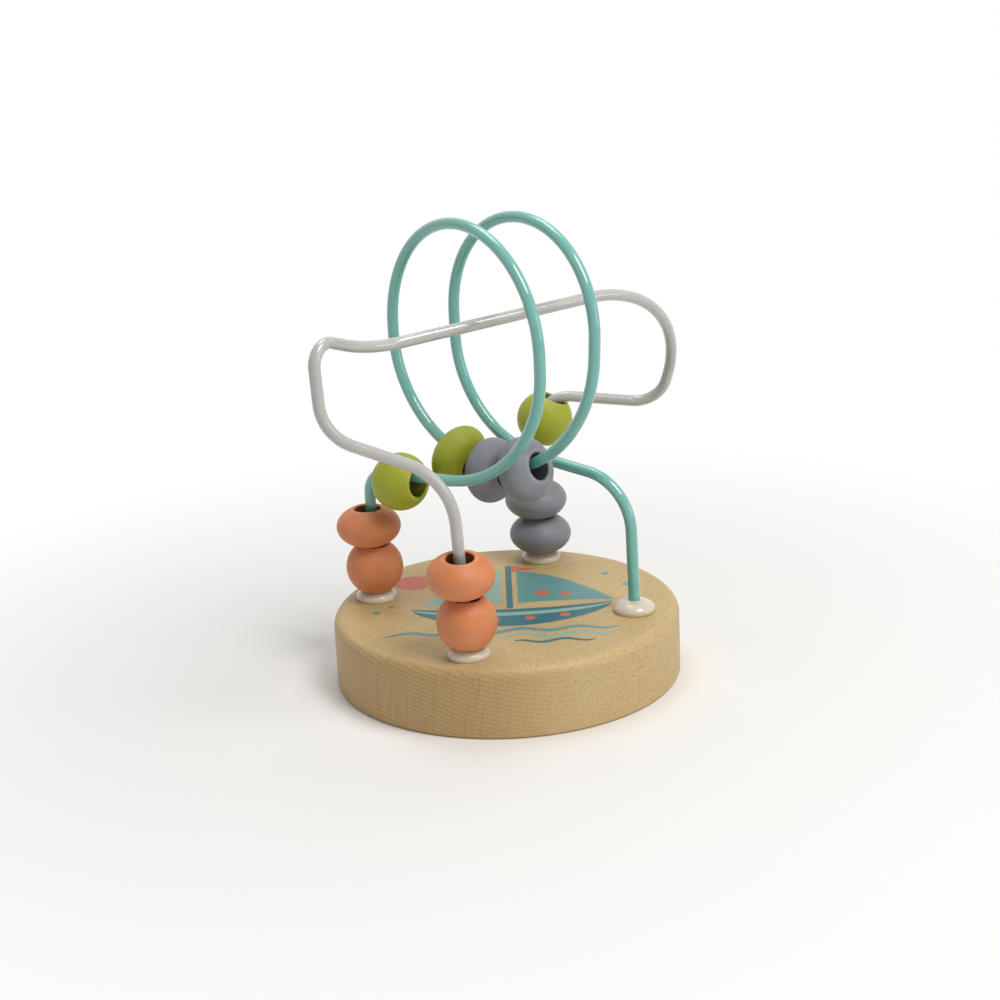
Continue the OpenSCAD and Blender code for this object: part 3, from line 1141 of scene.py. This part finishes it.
@dataclass(frozen=True)
class Cap:
    """The domed button round each foot of the wires."""

    diameter: float = 14.4 * MM
    rise: float = 4.2 * MM
    rim: float = 0.8 * MM
    shank_d: float = 8 * MM
    shank: float = 9 * MM
    hole_r: float = 2.05 * MM
    gap: float = 0.05 * MM
    soft: float = 0.25 * MM
    dome_points: int = 40
    columns: int = 72

    def outline(self) -> Array:
        """Half section: a half ellipse whose widest part stands above the wood, and a shank below.

        The dome at angle w from its top has radius R sin w and height rim + (rise - rim) cos w.

        Returns:
            Radius and height of the points.
        """
        radius = self.diameter / 2
        low = math.pi - math.acos(min(1.0, self.rim / (self.rise - self.rim)))
        top = math.asin(self.hole_r / radius)
        angle = np.linspace(low, top, self.dome_points)
        height = self.rim + (self.rise - self.rim) * np.cos(angle)
        dome = np.stack((radius * np.sin(angle), height), axis=1)
        shank = self.shank_d / 2
        inner = np.array([[self.hole_r, -self.shank], [shank, -self.shank], [shank, 0.0]])
        return np.concatenate((dome, inner))

    def build(self, foot: str, base: Base, material: bpy.types.Material) -> None:
        """Builds one cap.

        Args:
            foot: Name of the foot.
            base: The base.
            material: Its material.
        """
        outline = softened(self.outline(), self.soft)
        middle = base.foot(foot, base.height + self.gap)
        surface = revolved(outline, middle, UP, self.columns, np.zeros(len(outline)))
        piece = surface.build(f"{foot}_cap_button")
        piece.data.materials.append(material)
        place_piece(piece, "frame", Slot.CAP_PLASTIC, f"{foot}_cap")


@dataclass(frozen=True)
class BeadShape:
    """Sizes of a bead: a bulged side between two flat ends, with a bore."""

    diameter: float
    length: float
    edge_d: float
    bore_r: float = 4.6 * MM
    mouth: float = 0.4 * MM
    soft: float = 0.3 * MM
    worn_reach: float = 1.1 * MM
    bore_skin: float = 0.05 * MM
    side_points: int = 42
    columns: int = 96

    def outline(self) -> Array:
        """Half section of the bead, outer side upwards.

        The side is an ellipse: radius D/2 sqrt(1 - (s/b)^2) at height s,
        with b set so that the ends are edge_d wide.

        Returns:
            Radius and height of the points.
        """
        half = self.length / 2
        bulge = half / math.sqrt(1 - (self.edge_d / self.diameter) ** 2)
        s = half * np.sin(np.linspace(-math.pi / 2, math.pi / 2, self.side_points))
        side = np.stack((self.diameter / 2 * np.sqrt(1 - (s / bulge) ** 2), s), axis=1)
        mouth = half - self.mouth
        bore = np.array([
            [self.bore_r + self.mouth, half], [self.bore_r, mouth],
            [self.bore_r, -mouth], [self.bore_r + self.mouth, -half],
        ])
        return np.concatenate((side, bore))

    def surface(self, middle: Array, way: Array) -> Surface:
        """The bead in place.

        Args:
            middle: The bead's middle.
            way: Unit direction of its bore.

        Returns:
            The surface.
        """
        outline = softened(self.outline(), self.soft)
        edge = np.array([self.edge_d / 2, self.length / 2])
        off = np.linalg.norm(np.abs(outline) - edge, axis=1)
        wear_and_bore_shade = np.exp(-((off / self.worn_reach) ** 2))
        # Rows inside the bore are marked -1, which the paint turns into painted shade; the other rows carry
        # rim wear.
        shaded_bore = outline[:, 0] < self.bore_r + self.bore_skin
        return revolved(outline, middle, way, self.columns, np.where(shaded_bore, -1.0, wear_and_bore_shade))


BEADS = {
    Form.ROUND: BeadShape(20 * MM, 16.5 * MM, 11.3 * MM),
    Form.FLAT: BeadShape(22.5 * MM, 13 * MM, 11.2 * MM),
}


@dataclass(frozen=True)
class Bead:
    """One painted bead where it rests on its wire."""

    name: str
    form: Form
    slot: Slot
    middle: Array
    way: Array

    def build(self, material: bpy.types.Material) -> None:
        """Builds and dresses the bead on its own body.

        Args:
            material: Its paint.
        """
        piece = BEADS[self.form].surface(self.middle, self.way).build(f"{self.name}_painted")
        piece.data.materials.append(material)
        place_piece(piece, self.name, self.slot, self.name)


@dataclass(frozen=True)
class Threading:
    """Where the beads rest on the wires."""

    base: Base
    cap: Cap
    coil: Route
    pale: Route
    rest_gap: float = 0.3 * MM
    lean: float = 1.2 * MM
    run_place: float = 14 * MM
    coil_far: float = math.radians(70)
    glide_gap: float = 0.5 * MM
    front_tilt: float = math.radians(8)
    back_bead: float = math.radians(72)
    wire_r: float = 2 * MM
    run_corner: int = 1
    under_corner: int = 5
    back_corner: int = 8

    def play(self) -> float:
        """Room of the wire in a bore, less the gap that stays."""
        return BEADS[Form.ROUND].bore_r - self.wire_r - self.rest_gap

    def stack(self, foot: str, low: Form, high: Form) -> tuple[Array, Array]:
        """Middles of the two beads on a leg: the lower over the cap, the upper leaning to one side.

        Args:
            foot: Name of the foot.
            low: Form of the lower bead.
            high: Form of the upper bead.

        Returns:
            The two points.
        """
        shape = BEADS[low]
        share = (shape.bore_r + shape.mouth) / (self.cap.diameter / 2)
        dome = self.cap.rim + (self.cap.rise - self.cap.rim) * math.sqrt(1 - share * share)
        first = self.base.height + self.cap.gap + dome + self.rest_gap + shape.length / 2
        second = first + shape.length / 2 + self.rest_gap + BEADS[high].length / 2
        return self.base.foot(foot, first), self.base.foot(foot, second) - self.lean * RIGHT

    def hang(self, form: Form) -> float:
        """How far a bead's middle hangs outside the lower half loop, which bows across its bore.

        Args:
            form: Form of the bead.

        Returns:
            The distance.
        """
        radius = float(self.coil.radii[self.under_corner])
        bow = radius - math.sqrt(radius * radius - BEADS[form].length ** 2 / 4)
        return self.play() - self.glide_gap - bow

    def room(self, form: Form) -> float:
        """Half of the angle that a bead takes up round the lower half loop.

        Args:
            form: Form of the bead.

        Returns:
            The angle in radians.
        """
        shape = BEADS[form]
        reach = 2 * (float(self.coil.radii[self.under_corner]) + self.hang(form)) - shape.edge_d
        return math.atan((shape.length + self.rest_gap) / reach)

    def beads(self) -> list[Bead]:
        """All eleven beads.

        Returns:
            The beads in place.
        """
        run_start, run_end = self.coil.corners[self.run_corner:self.run_corner + 2]
        run_way = unit(run_end - run_start)
        run_down = unit(-UP + run_way[2] * run_way)
        run_at = run_start + self.run_place * run_way + self.play() * run_down
        under = self.coil.bend(self.under_corner)
        mid = self.coil_far + 2 * self.room(Form.FLAT)
        near = mid + 2 * self.room(Form.FLAT)
        back = self.pale.bend(self.back_corner)
        left = self.stack("left", Form.ROUND, Form.FLAT)
        front = self.stack("front", Form.ROUND, Form.FLAT)
        tilt_way = math.cos(self.front_tilt) * UP - math.sin(self.front_tilt) * AWAY
        tilt_rise = math.sin(self.front_tilt) * BEADS[Form.FLAT].edge_d / 2 * UP
        rear = self.stack("back", Form.FLAT, Form.FLAT)
        orange, green, grey = Slot.ORANGE_PAINT, Slot.GREEN_PAINT, Slot.GREY_PAINT

        def on_coil(name: str, form: Form, slot: Slot, angle: float) -> Bead:
            """A bead at an angle round the coil's lower half loop."""
            return Bead(name, form, slot, under.at(angle, self.hang(form)), under.way_at(angle))

        return [
            Bead("left_round_bead", Form.ROUND, orange, left[0], UP),
            Bead("left_flat_bead", Form.FLAT, orange, left[1], UP),
            Bead("run_round_bead", Form.ROUND, green, run_at, run_way),
            on_coil("coil_far_bead", Form.FLAT, green, self.coil_far),
            on_coil("coil_mid_bead", Form.FLAT, grey, mid),
            on_coil("coil_near_bead", Form.FLAT, grey, near),
            Bead("front_round_bead", Form.ROUND, orange, front[0], UP),
            Bead("front_flat_bead", Form.FLAT, orange, front[1] + tilt_rise, tilt_way),
            Bead("back_low_bead", Form.FLAT, grey, rear[0], UP),
            Bead("back_mid_bead", Form.FLAT, grey, rear[1], UP),
            Bead(
                "back_round_bead", Form.ROUND, green,
                back.at(self.back_bead, -self.play()), back.way_at(self.back_bead),
            ),
        ]


@dataclass(frozen=True)
class Film:
    """One printed shape: the area between two heights over x, in millimetres on the print's own axes."""

    ink: Ink
    across: Array
    low: Array
    high: Array
    layer: int = 0


@dataclass(frozen=True)
class Print:
    """A sailing boat on waves, printed on top of the base; its foot faces the front.

    Attributes:
        rise: Height of a film above the wood, in metres.
        layer_rise: Further height of each film that lies on another, in metres.
        sink: Depth of a film's underside in the wood, in metres.
        count: Points along a curve.
        stern: X of the hull's left end, in millimetres like all that follow.
        length: Length of the hull.
        deck: Height of the deck at its middle.
        sheer: Rise of the deck to its ends.
        draught: Depth of the hull.
        hull_round: Power that rounds the ends of the hull.
        stripe: Lower and upper depth of the hull's stripe.
        stripe_round: Power that rounds the ends of the stripe.
        mast: First and last x, lower and upper end of the mast.
        mast_points: Points across the mast.
        flag: Length, half height, middle, and height and rate of the ripples of the flag.
        sails: Ink, x along the mast, x of the tip, foot, head and belly of each sail.
        sail_sag: Rise of a sail's foot in its middle.
        waves: Ink, first and last x, middle, swell, pitch and width of each wave.
        wave_round: Power that rounds the ends of a wave.
        dots: Ink, x, y, radius and layer of each dot.
    """

    rise: float = 0.03 * MM
    layer_rise: float = 0.015 * MM
    sink: float = 0.02 * MM
    count: int = 49
    stern: float = -33.0
    length: float = 70.0
    deck: float = -6.0
    sheer: float = 3.6
    draught: float = 16.0
    hull_round: float = 0.55
    stripe: tuple[float, float] = (6.2, 3.0)
    stripe_round: float = 0.4
    mast: tuple[float, float, float, float] = (0.2, 2.4, -5.0, 38.5)
    mast_points: int = 5
    flag: tuple[float, float, float, float, float] = (8.6, 3.4, 34.8, 0.6, 0.8)
    sails: tuple[tuple[Ink, float, float, float, float, float], ...] = (
        (Ink.MID_TEAL, 4.2, 38.0, -0.5, 33.0, 6.0),
        (Ink.LIGHT_TEAL, -1.6, -29.0, 0.5, 35.0, 4.5),
    )
    sail_sag: float = 1.2
    waves: tuple[tuple[Ink, float, float, float, float, float, float], ...] = (
        (Ink.MID_TEAL, -42.0, 38.0, -26.0, 1.4, 19.0, 2.8),
        (Ink.LIGHT_TEAL, -3.0, 36.0, -31.5, 1.4, 19.0, 2.4),
        (Ink.DEEP_TEAL, 2.0, 29.0, -36.5, 1.2, 15.0, 2.0),
    )
    wave_round: float = 0.35
    dots: tuple[tuple[Ink, float, float, float, int], ...] = (
        (Ink.CORAL, -33.0, 25.0, 7.0, 0), (Ink.CORAL, 13.0, 9.0, 2.6, 1), (Ink.CORAL, 21.0, 6.5, 1.9, 1),
        (Ink.MID_TEAL, -45.0, -4.0, 1.4, 0), (Ink.MID_TEAL, -40.0, 1.0, 1.0, 0),
        (Ink.MID_TEAL, 43.0, 14.0, 1.4, 0), (Ink.MID_TEAL, 46.0, 6.0, 1.0, 0),
        (Ink.MID_TEAL, 36.0, 26.0, 1.2, 0),
        (Ink.CORAL, -16.0, -13.4, 1.8, 1), (Ink.CORAL, -4.0, -15.2, 1.8, 1),
        (Ink.CORAL, 8.0, -15.2, 1.8, 1), (Ink.CORAL, 20.0, -13.4, 1.8, 1),
    )

    def dot(self, ink: Ink, x: float, y: float, radius: float, layer: int) -> Film:
        """A round dot: the area between y - h and y + h, where h = sqrt(radius^2 - (x - middle)^2).

        Args:
            ink: Its ink.
            x: Middle, to the right.
            y: Middle, away.
            radius: Radius.
            layer: How many films lie under it.

        Returns:
            The film.
        """
        angle = np.linspace(0, math.pi, self.count)
        half = radius * np.sin(angle)
        return Film(ink, x - radius * np.cos(angle), y - half, y + half, layer)

    def wave(
        self, ink: Ink, first: float, last: float, y: float, swell: float, pitch: float, width: float
    ) -> Film:
        """A wave: a band of the given width round y + swell sin(2 pi x / pitch), tapered to its ends.

        Args:
            ink: Its ink.
            first: First x.
            last: Last x.
            y: Middle line.
            swell: Height of the wave.
            pitch: Length of one wave.
            width: Width of the band.

        Returns:
            The film.
        """
        share = np.linspace(0, 1, 2 * self.count)
        across = first + (last - first) * share
        middle = y + swell * np.sin(2 * math.pi * across / pitch)
        half = width / 2 * np.sin(math.pi * share) ** self.wave_round
        return Film(ink, across, middle - half, middle + half)

    def sail(self, ink: Ink, mast: float, tip: float, foot: float, head: float, belly: float) -> Film:
        """A sail: from its foot up to a leech that runs from the tip to the head and bellies outwards.

        Its curves run from left to right, so that its faces point outwards on both sides of the mast.

        Args:
            ink: Its ink.
            mast: X of the side along the mast.
            tip: X of the outer corner.
            foot: Y of the lower side.
            head: Y of the upper corner.
            belly: How far the leech bellies.

        Returns:
            The film.
        """
        share = np.linspace(0, 1, self.count) if tip < mast else np.linspace(1, 0, self.count)
        swell = np.sin(math.pi * share)
        high = foot + (head - foot) * share + belly * swell
        return Film(ink, tip + (mast - tip) * share, foot + self.sail_sag * swell, high)

    def boat(self) -> list[Film]:
        """The hull under a curved deck, its stripe, the mast, and a flag that tapers along a waving line.

        Returns:
            The films.
        """
        share = np.linspace(0, 1, self.count)
        swell = np.sin(math.pi * share).clip(0, 1)
        across = self.stern + self.length * share
        deck = self.deck + self.sheer * (2 * share - 1) ** 2
        low, high = (deck - depth * swell**self.stripe_round for depth in self.stripe)
        left, right, foot, head = self.mast
        mast = np.linspace(left, right, self.mast_points)
        reach, half, middle, ripple, rate = self.flag
        out = reach * share
        taper = half * (1 - share)
        line = middle + ripple * np.sin(out * rate)
        return [
            Film(Ink.DEEP_TEAL, across, deck - self.draught * swell**self.hull_round, deck),
            Film(Ink.LIGHT_TEAL, across, low, high, 1),
            Film(Ink.DEEP_TEAL, mast, np.full_like(mast, foot), np.full_like(mast, head)),
            Film(Ink.CORAL, right + out, line - taper, line + taper),
        ]

    def films(self) -> list[Film]:
        """All printed shapes.

        Returns:
            The films.
        """
        made = self.boat()
        made += [self.sail(*sizes) for sizes in self.sails]
        made += [self.wave(*sizes) for sizes in self.waves]
        made += [self.dot(*sizes) for sizes in self.dots]
        return made

    def slab(self, film: Film, base: Base) -> tuple[Array, Array]:
        """A film as a thin closed slab: the area's points on its upper side and again just inside the wood.

        Args:
            film: The film.
            base: The base.

        Returns:
            Points of shape (4 * columns, 3) and the quads' corner numbers.
        """
        columns = len(film.across)
        top = base.height + self.rise + film.layer * self.layer_rise
        below = base.height - self.sink
        depth = np.stack((film.low, film.high, film.high, film.low))[..., None] * MM
        height = np.array([top, top, below, below])[:, None, None]
        points = film.across[:, None] * MM * RIGHT + depth * AWAY + height * UP
        side, step = np.meshgrid(np.arange(4), np.arange(columns - 1), indexing="ij")
        here = side * columns + step
        after = (side + 1) % 4 * columns + step
        quads = np.stack((here, here + 1, after + 1, after), axis=-1).reshape(-1, 4)
        rows = np.arange(4) * columns
        ends = np.stack((rows, (rows + columns - 1)[::-1]))
        return points.reshape(-1, 3), np.concatenate((quads, ends))

    def build(self, base: Base, effects: Effects) -> None:
        """Builds one piece for each ink.

        Args:
            base: The base that is printed.
            effects: The shared node groups.
        """
        films = self.films()
        for ink in Ink:
            slabs = [self.slab(film, base) for film in films if film.ink is ink]
            starts = np.cumsum([0] + [len(points) for points, _ in slabs[:-1]])
            points = np.concatenate([points for points, _ in slabs])
            faces = np.concatenate([quads + start for (_, quads), start in zip(slabs, starts)])
            mesh = bpy.data.meshes.new(f"print_{ink.value}")
            mesh.from_pydata(points.tolist(), [], faces.tolist())
            piece = link(mesh)
            piece.data.materials.append(INKS[ink].make(effects))
            place_piece(piece, "frame", None)


# Stage


@dataclass(frozen=True)
class Lamp:
    """A square soft lamp: where it is, its size, power and tint."""

    name: str
    place: Triple
    size: float
    power: float
    tint: Triple

    def build(self, aim: Vector) -> None:
        """Adds the lamp.

        Args:
            aim: The point it faces.
        """
        data = bpy.data.lights.new(self.name, "AREA")
        data.shape = "SQUARE"
        data.size = self.size
        data.energy = self.power
        data.color = self.tint
        lamp = bpy.data.objects.new(self.name, data)
        bpy.context.scene.collection.objects.link(lamp)
        lamp.location = self.place
        lamp.rotation_euler = (aim - Vector(self.place)).to_track_quat("-Z", "Y").to_euler()


@dataclass(frozen=True)
class Studio:
    """Floor, light and camera, in metres and radians."""

    target: Triple = (0.0088162, 0.0094513, 0.0581710)
    distance: float = 0.6848886
    heading: float = math.radians(45.0)
    elevation: float = math.radians(17.51745)
    roll: float = math.radians(-2.63916)
    lens: float = 70.60858
    sensor: float = 36.0
    clip: tuple[float, float] = (0.01, 20.0)
    floor_radii: tuple[float, float] = (0.02, 3.0)
    floor_rows: int = 40
    floor_columns: int = 96
    ambient: float = 0.21
    lamp_aim: Triple = (0.0, 0.0, 0.06)
    lamps: tuple[Lamp, ...] = (
        Lamp("key", (0.02, -0.52, 0.88), 0.42, 5.3, (1.0, 0.975, 0.94)),
        Lamp("side", (0.3, -0.8, 0.3), 0.32, 0.8, (1.0, 0.99, 0.97)),
        Lamp("fill", (-0.75, 0.05, 0.35), 0.6, 0.2, (0.97, 0.98, 1.0)),
        Lamp("top", (0.10, 0.20, 0.85), 0.4, 2.0, (1.0, 1.0, 1.0)),
    )

    def camera(self) -> None:
        """Adds the camera: it looks along the heading and down by the elevation, with a small roll."""
        cos_e, sin_e = math.cos(self.elevation), math.sin(self.elevation)
        forward = np.array([cos_e * math.sin(self.heading), cos_e * math.cos(self.heading), -sin_e])
        right = np.array([math.cos(self.heading), -math.sin(self.heading), 0.0])
        up = np.cross(right, forward)
        across = math.cos(self.roll) * right + math.sin(self.roll) * up
        upward = math.cos(self.roll) * up - math.sin(self.roll) * right
        place = np.array(self.target) - self.distance * forward
        data = bpy.data.cameras.new("camera")
        data.lens = self.lens
        data.sensor_width = self.sensor
        data.clip_start, data.clip_end = self.clip
        camera = bpy.data.objects.new("camera", data)
        bpy.context.scene.collection.objects.link(camera)
        matrix = np.eye(4)
        matrix[:3] = np.stack((across, upward, -forward, place), axis=1)
        camera.matrix_world = Matrix(matrix.tolist())
        bpy.context.scene.camera = camera

    def floor(self, effects: Effects) -> None:
        """Adds a pale floor: a flat round sheet at z = 0, by radius and angle, open in the middle.

        Args:
            effects: The shared node groups.
        """
        rows = self.floor_rows
        radius = np.linspace(*self.floor_radii, rows)[:, None, None]
        points = radius * around(EAST, NORTH, self.floor_columns)
        surface = Surface(points[::-1], False, np.arange(float(rows)), np.zeros(rows), False)
        piece = surface.build("floor")
        piece.data.materials.append(FLOOR_PAPER.make(effects))

    def world(self) -> None:
        """Lights the scene from all round, and shows white to the camera and in reflections."""
        world = bpy.data.worlds.new("world")
        world.use_nodes = True
        bpy.context.scene.world = world
        sheet = Sheet(world.node_tree)
        back = world.node_tree.nodes["Background"]
        sheet.put((1.0, 1.0, 1.0), back.inputs["Color"])
        sheet.put(sheet.plus(sheet.seen(), 1.0 - self.ambient, self.ambient), back.inputs["Strength"])

    def build(self, effects: Effects) -> None:
        """Builds the stage and sets the view transform.

        Args:
            effects: The shared node groups.
        """
        bpy.context.scene.view_settings.view_transform = "Standard"
        self.floor(effects)
        self.world()
        self.camera()
        for lamp in self.lamps:
            lamp.build(Vector(self.lamp_aim))


def main() -> None:
    """Builds every sub-assembly in order."""
    logging.basicConfig(level=logging.INFO, format="%(message)s")
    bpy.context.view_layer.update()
    effects = Effects()
    base = Base()
    base.dress(effects)
    coil = CoilSizes().route(base)
    pale = PaleSizes().route(base)
    Wire("coil_wire", coil, EAST, TEAL_COAT, Slot.TEAL_COATING).build(effects)
    Wire("pale_wire", pale, NORTH, PALE_COAT, Slot.PALE_COATING).build(effects)
    cap = Cap()
    plastic = CAP_PLASTIC.make(effects)
    for foot in base.names():
        cap.build(foot, base, plastic)
    paints = {slot: finish.make(effects) for slot, finish in PAINTS.items()}
    for bead in Threading(base, cap, coil, pale).beads():
        bead.build(paints[bead.slot])
    Print().build(base, effects)
    Studio().build(effects)


if __name__ == "__main__":
    main()
